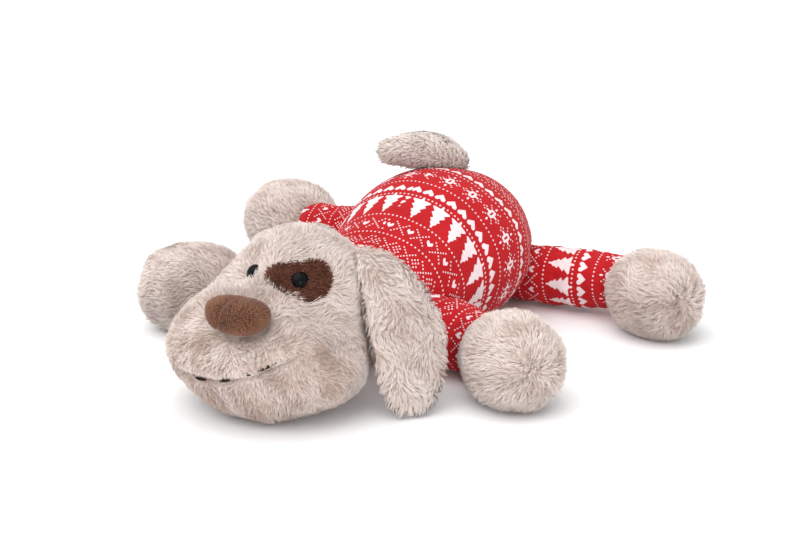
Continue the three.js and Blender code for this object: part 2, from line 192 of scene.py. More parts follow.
def share_along(points, curve):
    """How far along the straight line from a curve's root to its tip each point lies, 0 to 1."""
    root, tip = np.array(curve[0], float), np.array(curve[2], float)
    return np.clip(((points - root) @ (tip - root)) / ((tip - root) @ (tip - root)), 0, 1)


def tangential(vectors, normals):
    return unit(vectors - (vectors * normals).sum(-1, keepdims=True) * normals)


def bezier(points, t):
    a, b, c = (np.array(p, float) for p in points)
    t = np.asarray(t, float)[..., None]
    return (1 - t) ** 2 * a + 2 * t * (1 - t) * b + t ** 2 * c


def bezier_tangent(points, t):
    a, b, c = (np.array(p, float) for p in points)
    t = np.asarray(t, float)[..., None]
    return unit((1 - t) * (b - a) + t * (c - b))


def ring_quads(rings, sides):
    """Quads between closed rings of points, ring by ring."""
    ring, place = np.meshgrid(np.arange(rings - 1) * sides, np.arange(sides), indexing="ij")
    after = (place + 1) % sides
    corners = [ring + place, ring + after, ring + sides + after, ring + sides + place]
    return np.stack(corners, -1).reshape(-1, 4)


# ---------- mesh objects ----------

BAKE_MAP = "OFBake"


def placed(name, data):
    thing = bpy.data.objects.new(name, data)
    bpy.context.scene.collection.objects.link(thing)
    return thing


def point_along(thing, direction):
    thing.rotation_euler = Vector(direction).to_track_quat("-Z", "Y").to_euler()


def mesh_object(name, points, faces, material, corner_uv=None, normals=None):
    mesh = bpy.data.meshes.new(name)
    points = np.ascontiguousarray(points, float) * MM
    faces = np.ascontiguousarray(faces, np.int32)
    sides = faces.shape[1]
    mesh.vertices.add(len(points))
    mesh.vertices.foreach_set("co", points.ravel())
    mesh.loops.add(faces.size)
    mesh.loops.foreach_set("vertex_index", faces.ravel())
    mesh.polygons.add(len(faces))
    mesh.polygons.foreach_set("loop_start", np.arange(0, faces.size, sides, dtype=np.int32))
    mesh.update(calc_edges=True)
    mesh.shade_smooth()
    if corner_uv is not None:
        layer = mesh.uv_layers.new(name=BAKE_MAP)
        layer.data.foreach_set("uv", np.ascontiguousarray(corner_uv, np.float32).ravel())
    if normals is not None:
        mesh.normals_split_custom_set_from_vertices(normals.tolist())
    mesh.materials.append(material)
    return placed(name, mesh)


def weld(thing, distance, stitched=True):
    """Joins points that meet and faces all outwards. Stitched cloth keeps its open and folded edges sharp."""
    work = bmesh.new()
    work.from_mesh(thing.data)
    bmesh.ops.remove_doubles(work, verts=work.verts, dist=distance)
    if stitched:
        bmesh.ops.dissolve_degenerate(work, edges=work.edges, dist=1e-6)
    bmesh.ops.recalc_face_normals(work, faces=work.faces)
    if stitched:
        for edge in work.edges:
            edge.smooth = len(edge.link_faces) != 2 or edge.calc_face_angle() < 1.0
    work.to_mesh(thing.data)
    work.free()
    thing.data.shade_smooth()


# ---------- materials ----------

def new_material(name):
    material = bpy.data.materials.new(name)
    material.use_nodes = True
    tree = material.node_tree
    shader = tree.nodes["Principled BSDF"]
    return material, tree, shader


def set_sockets(node, values):
    for socket, value in values.items():
        node.inputs[socket].default_value = value


def ramp_node(tree, value, stops):
    node = tree.nodes.new("ShaderNodeValToRGB")
    tree.links.new(value, node.inputs["Fac"])
    while len(node.color_ramp.elements) < len(stops):
        node.color_ramp.elements.new(0.5)
    for element, (place, colour) in zip(node.color_ramp.elements, stops):
        element.position = place
        element.color = (*colour, 1)
    return node.outputs["Color"]


def multiply_node(tree, first, second, amount=1.0):
    node = tree.nodes.new("ShaderNodeMix")
    node.data_type = "RGBA"
    node.blend_type = "MULTIPLY"
    node.inputs["Factor"].default_value = amount
    tree.links.new(first, node.inputs["A"])
    tree.links.new(second, node.inputs["B"])
    return node.outputs["Result"]


def noise_node(tree, scale, detail=4):
    place = tree.nodes.new("ShaderNodeTexCoord")
    node = tree.nodes.new("ShaderNodeTexNoise")
    set_sockets(node, {"Scale": scale, "Detail": detail, "Roughness": 0.6})
    tree.links.new(place.outputs["Object"], node.inputs["Vector"])
    return node.outputs["Fac"]


def bump_node(tree, height, strength, distance, shader):
    node = tree.nodes.new("ShaderNodeBump")
    set_sockets(node, {"Strength": strength, "Distance": distance})
    tree.links.new(height, node.inputs["Height"])
    tree.links.new(node.outputs["Normal"], shader.inputs["Normal"])


def pile_material(name, along, across, sheen):
    """Strand colour: along runs from root to tip, across from one strand's look to another's."""
    material, tree, shader = new_material(name)
    place = tree.nodes.new("ShaderNodeUVMap")
    place.uv_map = BAKE_MAP
    split = tree.nodes.new("ShaderNodeSeparateXYZ")
    tree.links.new(place.outputs["UV"], split.inputs[0])
    length_colour = ramp_node(tree, split.outputs["Y"], along)
    look_colour = ramp_node(tree, split.outputs["X"], across)
    tree.links.new(multiply_node(tree, length_colour, look_colour), shader.inputs["Base Color"])
    set_sockets(shader, {
        "Roughness": 0.85, "Specular IOR Level": 0.2, "Sheen Weight": sheen, "Sheen Roughness": 0.5,
    })
    return material


def backing_material(name, dark, light):
    """The cloth that a pile grows from."""
    material, tree, shader = new_material(name)
    noise = noise_node(tree, 60)
    tree.links.new(ramp_node(tree, noise, [(0.3, dark), (0.7, light)]), shader.inputs["Base Color"])
    bump_node(tree, noise_node(tree, 900, 2), 0.6, 0.0006, shader)
    shader.inputs["Roughness"].default_value = 0.95
    return material


FUR = pile_material(
    "cream_pile",
    [(0.0, (0.56, 0.43, 0.37)), (0.45, (0.80, 0.69, 0.64)), (1.0, (0.90, 0.815, 0.775))],
    [
        (0.0, (0.56, 0.47, 0.42)),
        (0.35, (0.83, 0.79, 0.76)),
        (0.7, (0.97, 0.96, 0.955)),
        (1.0, (1.0, 1.0, 1.0)),
    ],
    0.1,
)
NOSE_PILE = pile_material(
    "brown_pile",
    [(0.0, (0.11, 0.045, 0.024)), (1.0, (0.38, 0.175, 0.10))],
    [(0.0, (0.55, 0.5, 0.48)), (1.0, (1.0, 1.0, 1.0))],
    0.2,
)
PATCH_PILE = pile_material(
    "dark_brown_pile",
    [(0.0, (0.035, 0.011, 0.007)), (1.0, (0.21, 0.07, 0.04))],
    [(0.0, (0.4, 0.36, 0.34)), (1.0, (1.0, 1.0, 1.0))],
    0.15,
)
FUR_BACKING = backing_material("cream_backing", (0.52, 0.41, 0.36), (0.64, 0.53, 0.48))
BROWN_BACKING = backing_material("brown_backing", (0.05, 0.018, 0.01), (0.09, 0.035, 0.02))


def jersey_material():
    material, tree, shader = new_material("printed_jersey")
    attribute = tree.nodes.new("ShaderNodeAttribute")
    attribute.attribute_name = "print"
    red = (0.44, 0.010, 0.014)
    pale = (0.78, 0.66, 0.68)
    print_colour = ramp_node(tree, attribute.outputs["Fac"], [(0.40, red), (0.60, pale)])
    shade = ramp_node(tree, noise_node(tree, 45, 5), [(0.3, (0.86, 0.84, 0.84)), (0.7, (1, 1, 1))])
    tree.links.new(multiply_node(tree, print_colour, shade), shader.inputs["Base Color"])
    bump_node(tree, noise_node(tree, 1100, 2), 0.35, 0.0004, shader)
    set_sockets(shader, {
        "Roughness": 0.9, "Specular IOR Level": 0.15, "Sheen Weight": 0.04, "Sheen Roughness": 0.5,
    })
    return material


JERSEY = jersey_material()


def plain_material(name, colour, roughness, fibre=0.0):
    material, tree, shader = new_material(name)
    shade = ramp_node(tree, noise_node(tree, 300), [(0.3, tuple(0.9 * c for c in colour)), (0.7, colour)])
    tree.links.new(shade, shader.inputs["Base Color"])
    set_sockets(shader, {"Roughness": roughness, "Specular IOR Level": 0.08})
    if fibre:
        bump_node(tree, noise_node(tree, 1500, 3), fibre, 0.0004, shader)
    return material


EYE_PLASTIC = plain_material("eye_plastic_gloss", (0.004, 0.004, 0.005), 0.12)
WASHER_PLASTIC = plain_material("washer_plastic_matte", (0.8, 0.8, 0.78), 0.5)
THREAD = plain_material("embroidery_thread", (0.02, 0.014, 0.012), 0.5, fibre=0.6)

for washer in ("eye_washer_left", "eye_washer_right"):
    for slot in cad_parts[washer].material_slots:
        slot.material = WASHER_PLASTIC


# ---------- pile ----------

def scatter(points, faces, count, source, wanted=None):
    """Evenly spread places on a mesh of quads: (places, normals)."""
    normals = vertex_normals(points, faces)
    triangles = np.stack([faces[:, [0, 1, 2]], faces[:, [0, 2, 3]]], 1).reshape(-1, 3)
    corner = points[triangles]
    area = np.linalg.norm(np.cross(corner[:, 1] - corner[:, 0], corner[:, 2] - corner[:, 0]), axis=1) / 2
    if wanted is not None:
        area = area * wanted(corner.mean(1))
    total = np.cumsum(area)
    picks = (np.arange(count) + source.random(count)) / count * total[-1]
    index = np.minimum(np.searchsorted(total, picks), len(total) - 1)
    u = np.sqrt(source.random(count))
    v = source.random(count)
    weights = np.stack([1 - u, u * (1 - v), u * v], 1)[..., None]
    places = (corner[index] * weights).sum(1)
    return places, unit((normals[triangles[index]] * weights).sum(1))


def nearest(points, centres):
    result = np.empty(len(points), int)
    centres = centres.astype(np.float32)
    squares = (centres ** 2).sum(1)
    for start in range(0, len(points), 2000):
        part = points[start:start + 2000].astype(np.float32)
        result[start:start + 2000] = np.argmin(squares - 2 * part @ centres.T, axis=1)
    return result


LOOK_STRIP = 0.03
DROOP = 0.12  # how much the tips hang
ROUNDNESS = 0.55  # how far a strand's shading turns from the cloth's normal to its own


def pile(name, roots, normals, comb, length, width, source, material,
         lean=(0.5, 0.86), clump=9, gather=0.55, look_scale=26, swirl=0.8, tone_and_shade=0.55):
    """Closed tapered strands, gathered into clumps, combed along a surface."""
    count = len(roots)
    comb = tangential(comb, normals)
    turn = (swirl * ripple(roots, 27, 7))[:, None]
    comb = np.cos(turn) * comb + np.sin(turn) * np.cross(normals, comb)
    comb = tangential(comb + 0.25 * source.normal(size=(count, 3)), normals)
    length = (length * source.uniform(0.75, 1.15, count))[:, None]
    leaning = np.clip(lean[0] + 0.12 * source.normal(size=count), 0.05, 0.95)[:, None]
    lying = np.clip(lean[1] + 0.10 * source.normal(size=count), 0.05, 0.97)[:, None]
    first = unit(normals * (1 - leaning) + comb * leaning)
    second = unit(normals * (1 - lying) + comb * lying - DROOP * UP)
    middle = roots + 0.5 * length * first
    tip = middle + 0.5 * length * second
    leaders = np.arange(0, count, clump)
    leader = leaders[nearest(roots, roots[leaders])]
    pull = (gather * source.uniform(0.6, 1.3, count))[:, None]
    tip = tip + np.clip(pull, 0, 0.95) * (tip[leader] - tip)
    middle = middle + 0.35 * np.clip(pull, 0, 0.95) * (middle[leader] - middle)
    side = unit(np.cross(first, comb + 0.01))
    other = np.cross(first, side)
    points = np.empty((count, 7, 3))
    shading = np.empty((count, 7, 3))
    radius = (width * 0.5 * source.uniform(0.8, 1.2, count))[:, None]
    for k in range(3):
        angle = 2 * math.pi * k / 3
        ring = math.cos(angle) * side + math.sin(angle) * other
        points[:, k] = roots - 0.6 * normals + radius * ring
        points[:, 3 + k] = middle + 0.8 * radius * ring
        shading[:, k] = unit(normals + ROUNDNESS * ring)
        shading[:, 3 + k] = shading[:, k]
    points[:, 6] = tip
    shading[:, 6] = unit(normals + 0.4 * unit(second))
    points = above_floor(points)
    faces = [[0, 2, 1]]
    for k in range(3):
        after = (k + 1) % 3
        faces += [[k, after, 3 + after], [k, 3 + after, 3 + k], [3 + k, 3 + after, 6]]
    faces = np.array(faces)
    look = tone_and_shade + 0.22 * ripple(roots, look_scale, 5) + 0.16 * source.normal(size=count)
    look = look + 0.08 * source.normal(size=count)[leader]
    look = np.clip(look, 0.02, 0.94)
    ring_u = np.array([0, 0.5, 1, 0, 0.5, 1, 0.5]) * LOOK_STRIP
    ring_v = np.array([0.02, 0.02, 0.02, 0.5, 0.5, 0.5, 0.98])
    corner_u = look[:, None, None] + ring_u[faces][None]
    corner_v = np.broadcast_to(ring_v[faces][None], corner_u.shape)
    corner_uv = np.stack([corner_u, corner_v], -1).reshape(-1, 2)
    all_faces = (np.arange(count)[:, None, None] * 7 + faces[None]).reshape(-1, 3)
    return mesh_object(name, points.reshape(-1, 3), all_faces, material, corner_uv, shading.reshape(-1, 3))


DENSITY = 0.85
MAX_STRANDS = 19000


def strands_for(points, faces, density=DENSITY, most=MAX_STRANDS):
    corner = points[faces]
    across = np.cross(corner[:, 2] - corner[:, 0], corner[:, 3] - corner[:, 1])
    area = np.linalg.norm(across, axis=1).sum() / 2
    return min(int(area * density), most)


# ---------- head ----------

def front_of_face(x, z):
    """The place on the head's CAD surface straight in front of (x, z), and the normal there."""
    def place(x, z):
        low, high = 0.0, 200.0
        for _ in range(40):
            depth = (low + high) / 2
            offset = np.array([x, -depth, z - HEAD_HEART[2]])
            distance = np.linalg.norm(offset)
            if distance < soft_reach(offset[None] / distance, HEAD_HEART, HEAD_FORMS)[0]:
                low = depth
            else:
                high = depth
        return np.array([x, HEAD_HEART[1] - low, z])
    step = 4.0
    sideways = place(x + step, z) - place(x - step, z)
    upwards = place(x, z + step) - place(x, z - step)
    return place(x, z), unit(np.cross(sideways, upwards))


def mouth_line(points):
    """Height of the mouth above the floor at each point's side position, rising to the left corner."""
    return MOUTH_HEIGHT + 3.5 + 0.2285 * points[:, 0] + 0.00386 * points[:, 0] ** 2


EYE_PLACES = {side: front_of_face(x, EYE_HEIGHT) for side, x in EYE_SPREADS.items()}


CREASE_DEPTH = 7.0
LIP_FULLNESS = 4.5
BROW_FULLNESS = 11
JAW_SHIFT = (-8, 7)  # how far the jaw lies to the right and back
BRIDGE = np.array([1.0, -247.0, 112.0])
RIGHT_BROW = np.array([-42.0, -250.0, 90.0])


def shape_head(directions):
    points = HEAD_HEART + directions * (soft_reach(directions, HEAD_HEART, HEAD_FORMS) - 1.5)[:, None]
    front = smoothstep(-262, -290, points[:, 1]) * smoothstep(62, 40, points[:, 0])
    offset = points[:, 2] - mouth_line(points)
    crease = CREASE_DEPTH * bump(offset, 3.5) * front
    lip = LIP_FULLNESS * bump(offset - 12, 10) * front
    sockets = sum(3.5 * bump(away_from(place, points), 12) for place, _ in EYE_PLACES.values())
    sockets -= 4.5 * bump(away_from(BRIDGE, points), 15)
    under_nose = 2.0 * bump(away_from(NOSE_CENTRE, points), 26)
    lumps = 1.3 * ripple(points, 42, 11) + 0.6 * ripple(points, 17, 12)
    muzzle = smoothstep(-205, -250, points[:, 1])
    jaw = smoothstep(6, -14, offset) * muzzle
    cheek = muzzle * smoothstep(0, -45, points[:, 0]) * bump(points[:, 2] - 75, 45)
    brow = BROW_FULLNESS * bump(away_from(RIGHT_BROW, points), 27)
    points = points + directions * (lip - crease - sockets - under_nose + lumps)[:, None]
    points[:, 0] += JAW_SHIFT[0] * jaw - 6 * cheek - 0.87 * brow
    points[:, 1] += JAW_SHIFT[1] * jaw - 0.5 * brow
    return above_floor(points)


PATCH_CENTRE = np.array([21.0, 108.0])
PATCH_OUTLINE = [
    (-4, 108), (5, 116), (20, 121), (34, 119), (42, 110),
    (42, 101), (39, 93), (32, 94), (24, 102), (12, 102),
]  # corners, across and up, seen from the front


def patch_reach(angle):
    """How far the patch's outline lies from its centre, seen from the front, at each angle."""
    corners = np.array(PATCH_OUTLINE, float) - PATCH_CENTRE
    around = np.arctan2(corners[:, 1], corners[:, 0])
    order = np.argsort(around)
    around, reach = around[order], np.hypot(*corners[order].T)
    around = np.concatenate([around - 2 * math.pi, around, around + 2 * math.pi])
    reach = np.tile(reach, 3)
    spread = np.linspace(-0.22, 0.22, 9)
    return np.mean([np.interp(angle + turn, around, reach) for turn in spread], axis=0)


def patch_edge(points):
    """Below 1 inside the eye patch, seen from the front."""
    x = points[:, 0] - PATCH_CENTRE[0]
    z = points[:, 2] - PATCH_CENTRE[1]
    return np.hypot(x, z) / patch_reach(np.arctan2(z, x))


def build_head():
    source = np.random.default_rng(101)
    directions, faces = sphere_grid(54)
    points = shape_head(directions)
    skin = mesh_object("head_plush", points, faces, FUR_BACKING)
    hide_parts("head_side_left", "head_side_right", "head_back", "head_chin", "head_filling")
    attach(skin, "head")

    def wanted(places):
        directions = unit(places - HEAD_HEART)
        smooth = HEAD_HEART + directions * soft_reach(directions, HEAD_HEART, HEAD_FORMS)[:, None]
        bare = (patch_edge(smooth) > 0.97) | (places[:, 1] > -223)
        on_nose = np.linalg.norm((places - NOSE_CENTRE) / (NOSE_RADII + 1), axis=1) < 1
        eyes = sum(away_from(place, places) < EYE_RADIUS for place, _ in EYE_PLACES.values())
        hidden = places[:, 2] < 1.5
        return bare * ~on_nose * (eyes == 0) * np.where(hidden, 0.15, 1.0)

    count = strands_for(points, faces, most=4 * MAX_STRANDS)
    roots, normals = scatter(points, faces, count, source, wanted)
    from_nose = unit(roots - (NOSE_CENTRE + np.array([0, 0, 4])))
    above_mouth = roots[:, 2] > mouth_line(roots) - 4
    comb = from_nose + np.array([0, 0.35, 0])
    comb[:, 2] -= np.where(above_mouth, 0.25, 0.6)
    comb += 0.35 * ripples(roots, 38, 21)
    near_nose = away_from(NOSE_CENTRE, roots)
    near_eye = np.min([away_from(place, roots) for place, _ in EYE_PLACES.values()], axis=0)
    below_mouth = smoothstep(2, -8, roots[:, 2] - mouth_line(roots))
    near_mouth = bump(roots[:, 2] - mouth_line(roots) - 3, 8) * smoothstep(-255, -280, roots[:, 1])
    length = 9.5 - 3.0 * bump(near_nose, 34) - 3.0 * bump(near_eye, 20) + 1.2 * ripple(roots, 30, 24)
    length = np.maximum(2.5, length - 2.0 * below_mouth - 5.5 * near_mouth)
    panels = {
        "muzzle": (roots[:, 1] < -245) & above_mouth,
        "crown": (roots[:, 1] >= -245) & above_mouth & (roots[:, 2] > 70),
        "chin": ~above_mouth,
    }
    panels["cheeks"] = ~(panels["muzzle"] | panels["crown"] | panels["chin"])
    # Fur tone per strand: darker towards the front of the muzzle, and darker again below the mouth line,
    # which is painted shade on the chin.
    tone_and_shade = 0.62 - 0.32 * smoothstep(-235, -280, roots[:, 1]) - 0.12 * below_mouth
    for panel, inside in panels.items():
        chosen = np.flatnonzero(inside)
        kept = min(len(chosen), MAX_STRANDS)
        chosen = chosen[np.linspace(0, len(chosen) - 1, kept).astype(int)]
        fur = pile(f"head_pile_{panel}", roots[chosen], normals[chosen], comb[chosen], length[chosen], 0.55,
                   source, FUR, tone_and_shade=tone_and_shade[chosen])
        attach(fur, "head")


def build_nose():
    source = np.random.default_rng(102)
    directions, faces = sphere_grid(18)
    boxy = np.sign(directions) * np.abs(directions) ** np.array([0.8, 1.0, 0.8])
    points = boxy * NOSE_RADII * np.array([0.93, 0.97, 0.84])
    points[:, 0] *= 1 + 0.16 * directions[:, 2]
    crease_x = -8 + 0.25 * points[:, 2]
    crease = 3.4 * bump(points[:, 0] - crease_x, 2.0) * smoothstep(-0.1, -0.5, directions[:, 1])
    points = NOSE_CENTRE + np.array([0, 0, 1.5]) + points - directions * crease[:, None]
    skin = mesh_object("nose_plush", points, faces, BROWN_BACKING)
    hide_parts("nose_cover", "nose_filling")
    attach(skin, "head")
    roots, normals = scatter(points, faces, strands_for(points, faces, 2.2), source)
    comb = np.tile([0.1, 0.5, -0.6], (len(roots), 1)) + 0.5 * (roots - NOSE_CENTRE) / NOSE_RADII
    fur = pile("nose_pile", roots, normals, comb, np.full(len(roots), 2.6), 0.55, source, NOSE_PILE,
               lean=(0.2, 0.6), clump=6, gather=0.4, look_scale=14)
    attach(fur, "head")


def build_patch():
    source = np.random.default_rng(103)
    rings, spokes = 14, 64
    radius = np.linspace(0, 1, rings + 1)[1:]
    angle = np.linspace(0, 2 * math.pi, spokes, endpoint=False)
    flat = [[PATCH_CENTRE[0], PATCH_CENTRE[1]]]
    for r in radius:
        for a in angle:
            reach = r * patch_reach(math.remainder(a, 2 * math.pi))
            flat.append([PATCH_CENTRE[0] + reach * math.cos(a), PATCH_CENTRE[1] + reach * math.sin(a)])
    flat = np.array(flat)
    depth = np.array([front_of_face(x, z)[0] for x, z in flat])
    directions = unit(depth - HEAD_HEART)
    surface = shape_head(directions)
    lift = np.concatenate([[1.0], np.repeat(np.sqrt(np.clip(1 - radius ** 6, 0, 1)), spokes)])
    outer = surface + directions * (0.6 + 1.6 * lift)[:, None]
    inner = surface - directions * 1.0
    count = len(flat)
    last = 1 + (rings - 1) * spokes
    around = np.arange(spokes)
    after = (around + 1) % spokes
    quads = 1 + ring_quads(rings, spokes)[:, [0, 3, 2, 1]]
    fan = np.stack([np.zeros(spokes, int), 1 + around, 1 + after], 1)
    top = np.vstack([fan, quads[:, [0, 1, 2]], quads[:, [0, 2, 3]]])
    bottom = top[:, ::-1] + count
    here, there = last + around, last + after
    rim = np.stack([here, here + count, there + count, here, there + count, there], 1).reshape(-1, 3)
    skin_faces = np.vstack([top, bottom, rim])
    if np.cross(outer[1 + spokes // 4] - outer[0], outer[1] - outer[0])[1] >= 0:
        skin_faces = skin_faces[:, ::-1]
    skin = mesh_object("eye_patch_plush", np.vstack([outer, inner]), skin_faces, BROWN_BACKING)
    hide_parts("eye_patch")
    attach(skin, "head")
    eye_place = EYE_PLACES["left"][0]

    def wanted(places):
        return np.linalg.norm((places - eye_place)[:, [0, 2]], axis=1) > EYE_RADIUS - 2.5

    roots, normals = scatter(outer, quads, strands_for(outer, quads, 2.0), source, wanted)
    normals[(normals * (roots - HEAD_HEART)).sum(1) < 0] *= -1
    comb = unit(roots - NOSE_CENTRE) + np.array([0, 0, -0.3])
    comb += 0.5 * ripples(roots, 16, 31)
    fur = pile("eye_patch_pile", roots, normals, comb, np.full(len(roots), 4.2), 0.6, source, PATCH_PILE,
               lean=(0.3, 0.65), clump=8, gather=0.6, look_scale=9)
    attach(fur, "head")


def turned_profile(name, place, look, profile, segments, material):
    """A round piece on the face: profile is (radius, height along the look)."""
    side = unit(np.cross(look, [0, 0, 1]))
    other = np.cross(look, side)
    points = []
    for radius, height in profile:
        for k in range(segments):
            angle = 2 * math.pi * k / segments
            points.append(place + look * height + radius * (math.cos(angle) * side + math.sin(angle) * other))
    thing = mesh_object(name, np.array(points), ring_quads(len(profile), segments), material)
    weld(thing, 1e-6, stitched=False)
    return thing


def build_eyes():
    for side, (place, look) in EYE_PLACES.items():
        profile = [(0.0, -6.0), (2.5, -6.0), (2.5, -1.0), (EYE_RADIUS - 0.6, -1.0), (EYE_RADIUS, -0.4)]
        for step in range(1, 13):
            angle = step / 12 * math.pi / 2
            profile.append((EYE_RADIUS * math.cos(angle), EYE_RADIUS * 0.8 * math.sin(angle)))
        profile = [(max(0.0, r), h + EYE_SEATS[side] - 1.0) for r, h in profile]
        eye = turned_profile(f"eye_dome_{side}", place, look, profile, 40, EYE_PLASTIC)
        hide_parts(f"eye_{side}")
        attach(eye, "head")


def head_surface_at(x, z):
    place, _ = front_of_face(x, z)
    return shape_head(unit(place - HEAD_HEART)[None])[0]


STITCH_SPANS = ((-25, -15), (-3, 7), (20, 24), (27, 41))  # side positions of each stitch's ends
STITCH_STANDOUT = 8.2  # how far the thread stands out in front of the crease
STITCH_SIDES = 10
STITCH_STEPS = 9


def stitch(start, end):
    """One stitch along the mouth's crease: (points, quads, triangles of its two ends)."""
    line = []
    for x in np.linspace(start, end, STITCH_STEPS):
        z = mouth_line(np.array([[x, 0.0, 0.0]]))[0] - 0.5
        _, look = front_of_face(x, z)
        line.append(head_surface_at(x, z) + look * STITCH_STANDOUT)
    line = np.array(line)
    points = []
    for k, centre in enumerate(line):
        ahead = unit(line[min(k + 1, len(line) - 1)] - line[max(k - 1, 0)])
        up = tangential(UP, ahead)
        out = np.cross(ahead, up)
        thick = max(0.15, math.sin(math.pi * (k + 0.35) / (len(line) - 0.3)) ** 0.5)
        for s in range(STITCH_SIDES):
            angle = 2 * math.pi * s / STITCH_SIDES
            points.append(centre + thick * (1.5 * math.cos(angle) * out + 1.25 * math.sin(angle) * up))
    base = len(points)
    far = base - STITCH_SIDES
    ends = []
    for s in range(STITCH_SIDES):
        after = (s + 1) % STITCH_SIDES
        ends += [[base, after, s], [base + 1, far + s, far + after]]
    points += [line[0], line[-1]]
    return np.array(points), ring_quads(STITCH_STEPS, STITCH_SIDES), np.array(ends)


def build_mouth():
    """Short dark embroidered stitches that show along the mouth's crease."""
    points, quads, ends = zip(*[stitch(*span) for span in STITCH_SPANS])
    starts = [len(points[0]) * k for k in range(len(points))]
    quads = np.vstack([part + start for part, start in zip(quads, starts)])
    ends = np.vstack([part + start for part, start in zip(ends, starts)])
    triangles = np.vstack([quads[:, [0, 1, 2]], quads[:, [0, 2, 3]], ends])
    stitches = mesh_object("mouth_stitches", np.vstack(points), triangles, THREAD)
    weld(stitches, 1e-6, stitched=False)
    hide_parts("mouth_thread")
    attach(stitches, "head")


# ---------- ears ----------

def shape_ear(ear, directions):
    curve, across = ear[:3], unit(ear[3])
    along = (directions[:, 1] + 1) / 2
    width = 0.5 + 0.52 * np.minimum(1, along * 1.5)
    blunt = np.maximum(0.2, np.hypot(directions[:, 0], directions[:, 2])) ** -(0.2 + 0.2 * along)
    side = directions[:, 0] * blunt * EAR_WIDTH * width / 2 * 0.96
    centre = bezier(curve, along)
    forward = bezier_tangent(curve, along)
    outward = unit(np.cross(np.tile(across, (len(along), 1)), forward))
    outward[outward[:, 0] * curve[0][0] < 0] *= -1
    thick = directions[:, 2] * (EAR_THICKNESS / 2 - 1)
    points = centre + across * side[:, None] + outward * thick[:, None]
    points = points + outward * (1.4 * ripple(points, 40, 41))[:, None]
    return above_floor(points)


def build_ears():
    directions, faces = sphere_grid(26)
    for number, (name, ear) in enumerate(EARS.items()):
        source = np.random.default_rng(110 + number)
        points = shape_ear(ear, directions)
        faces_here = facing_out(points, faces, points.mean(0))
        skin = mesh_object(f"ear_{name}_plush", points, faces_here, FUR_BACKING)
        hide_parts(f"ear_{name}_outer", f"ear_{name}_inner")
        roots, root_normals = scatter(points, faces_here, strands_for(points, faces_here), source)
        share = share_along(roots, ear)
        comb = bezier_tangent(ear[:3], share) + 0.3 * ripples(roots, 30, 42)
        length = (8.5 + 1.5 * share) * (1.0 if name == "left" else 0.8)
        fur = pile(f"ear_{name}_pile", roots, root_normals, comb, length, 0.6, source, FUR,
                   lean=(0.45, 0.85), clump=10, gather=0.6)
        for piece in (skin, fur):
            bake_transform(piece)


# ---------- limbs ----------

def limb_frame(name):
    root, wrist, heading = LIMBS[name]
    root = np.array(root, float)
    wrist = np.array(wrist, float)
    heading = unit(np.array([*heading, 0.0]))
    centre = wrist + heading * PAW_STANDOFF
    centre[2] = PAW_HEIGHT
    return root, wrist, heading, centre


def build_paws():
    directions, faces = sphere_grid(26)
    for number, name in enumerate(LIMBS):
        source = np.random.default_rng(120 + number)
        _, wrist, heading, centre = limb_frame(name)
        side = np.cross(heading, UP)
        scaled = directions * np.array(PAW_RADII) * 0.97 * PAW_FULLNESS[name]
        whorl = unit(np.array([0.0, 1.0, 0.12]))
        nearness = np.arccos(np.clip(directions @ whorl, -1, 1))
        around = np.arctan2(directions[:, 2] - 0.12, directions[:, 0])
        pucker = 7.0 * bump(nearness, 0.34)
        pleats = 1.3 * np.cos(7 * around + 2 * number) * bump(nearness - 0.5, 0.45)
        lumps = 0.9 * ripple(scaled, 34, 50 + number)
        scaled = scaled - directions * (pucker - pleats - lumps)[:, None]
        points = centre + scaled[:, [0]] * side + scaled[:, [1]] * heading + scaled[:, [2]] * UP
        points = above_floor(points)
        faces_here = facing_out(points, faces, centre)
        skin = mesh_object(f"paw_plush_{name}", points, faces_here, FUR_BACKING)
        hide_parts(f"paw_{name}", f"paw_filling_{name}")
        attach(skin, f"paw_{name}")

        def wanted(places):
            back = ((places - wrist) @ heading) < 2
            return np.where(back, 0.0, 1.0) * np.where(places[:, 2] < 1.2, 0.2, 1.0)

        roots, root_normals = scatter(points, faces_here, strands_for(points, faces_here), source, wanted)
        pole = centre + heading * PAW_RADII[1] * 0.9 + UP * PAW_RADII[2] * 0.12
        away = 1 if name.endswith("left") else -1
        comb = away * unit(roots - pole) - 0.2 * away * heading
        comb += 0.3 * ripples(roots, 26, 51)
        length = 8.5 + 0.8 * ripple(roots, 30, 54)
        fur = pile(f"paw_pile_{name}", roots, root_normals, comb, length, 0.55, source, FUR,
                   lean=(0.35, 0.76), clump=9, gather=0.6, swirl=0.5)
        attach(fur, f"paw_{name}")


def build_tail():
    source = np.random.default_rng(130)
    directions, faces = sphere_grid(20)
    along = (directions[:, 1] + 1) / 2
    centre = bezier(TAIL_POINTS, along)
    forward = bezier_tangent(TAIL_POINTS, along)
    side = unit(np.cross(forward, UP))
    top = np.cross(side, forward)
    blunt = np.maximum(0.25, np.hypot(directions[:, 0], directions[:, 2])) ** -0.6
    radius = (TAIL_RADIUS - 1) * (0.82 + 0.18 * np.sin(math.pi * along) - 0.05 * along)
    points = centre + side * (directions[:, 0] * blunt * radius)[:, None]
    points += top * (directions[:, 2] * blunt * radius)[:, None]
    points += forward * (directions[:, 1] * 4 * (np.abs(directions[:, 1]) > 0.8))[:, None]
    faces = facing_out(points, faces, centre)
    skin = mesh_object("tail_plush", points, faces, FUR_BACKING)
    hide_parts("tail_cover", "tail_filling")
    roots, root_normals = scatter(points, faces, strands_for(points, faces, DENSITY * 1.3), source)
    comb = bezier_tangent(TAIL_POINTS, share_along(roots, TAIL_POINTS))
    fur = pile("tail_pile", roots, root_normals, comb, np.full(len(roots), 8.0), 0.6, source, FUR,
               tone_and_shade=0.9, lean=(0.4, 0.8), clump=10, gather=0.7)
    for piece in (skin, fur):
        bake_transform(piece)


# ---------- print ----------

ROW_PITCH = 2.0
COLUMN_PITCH = 2.05

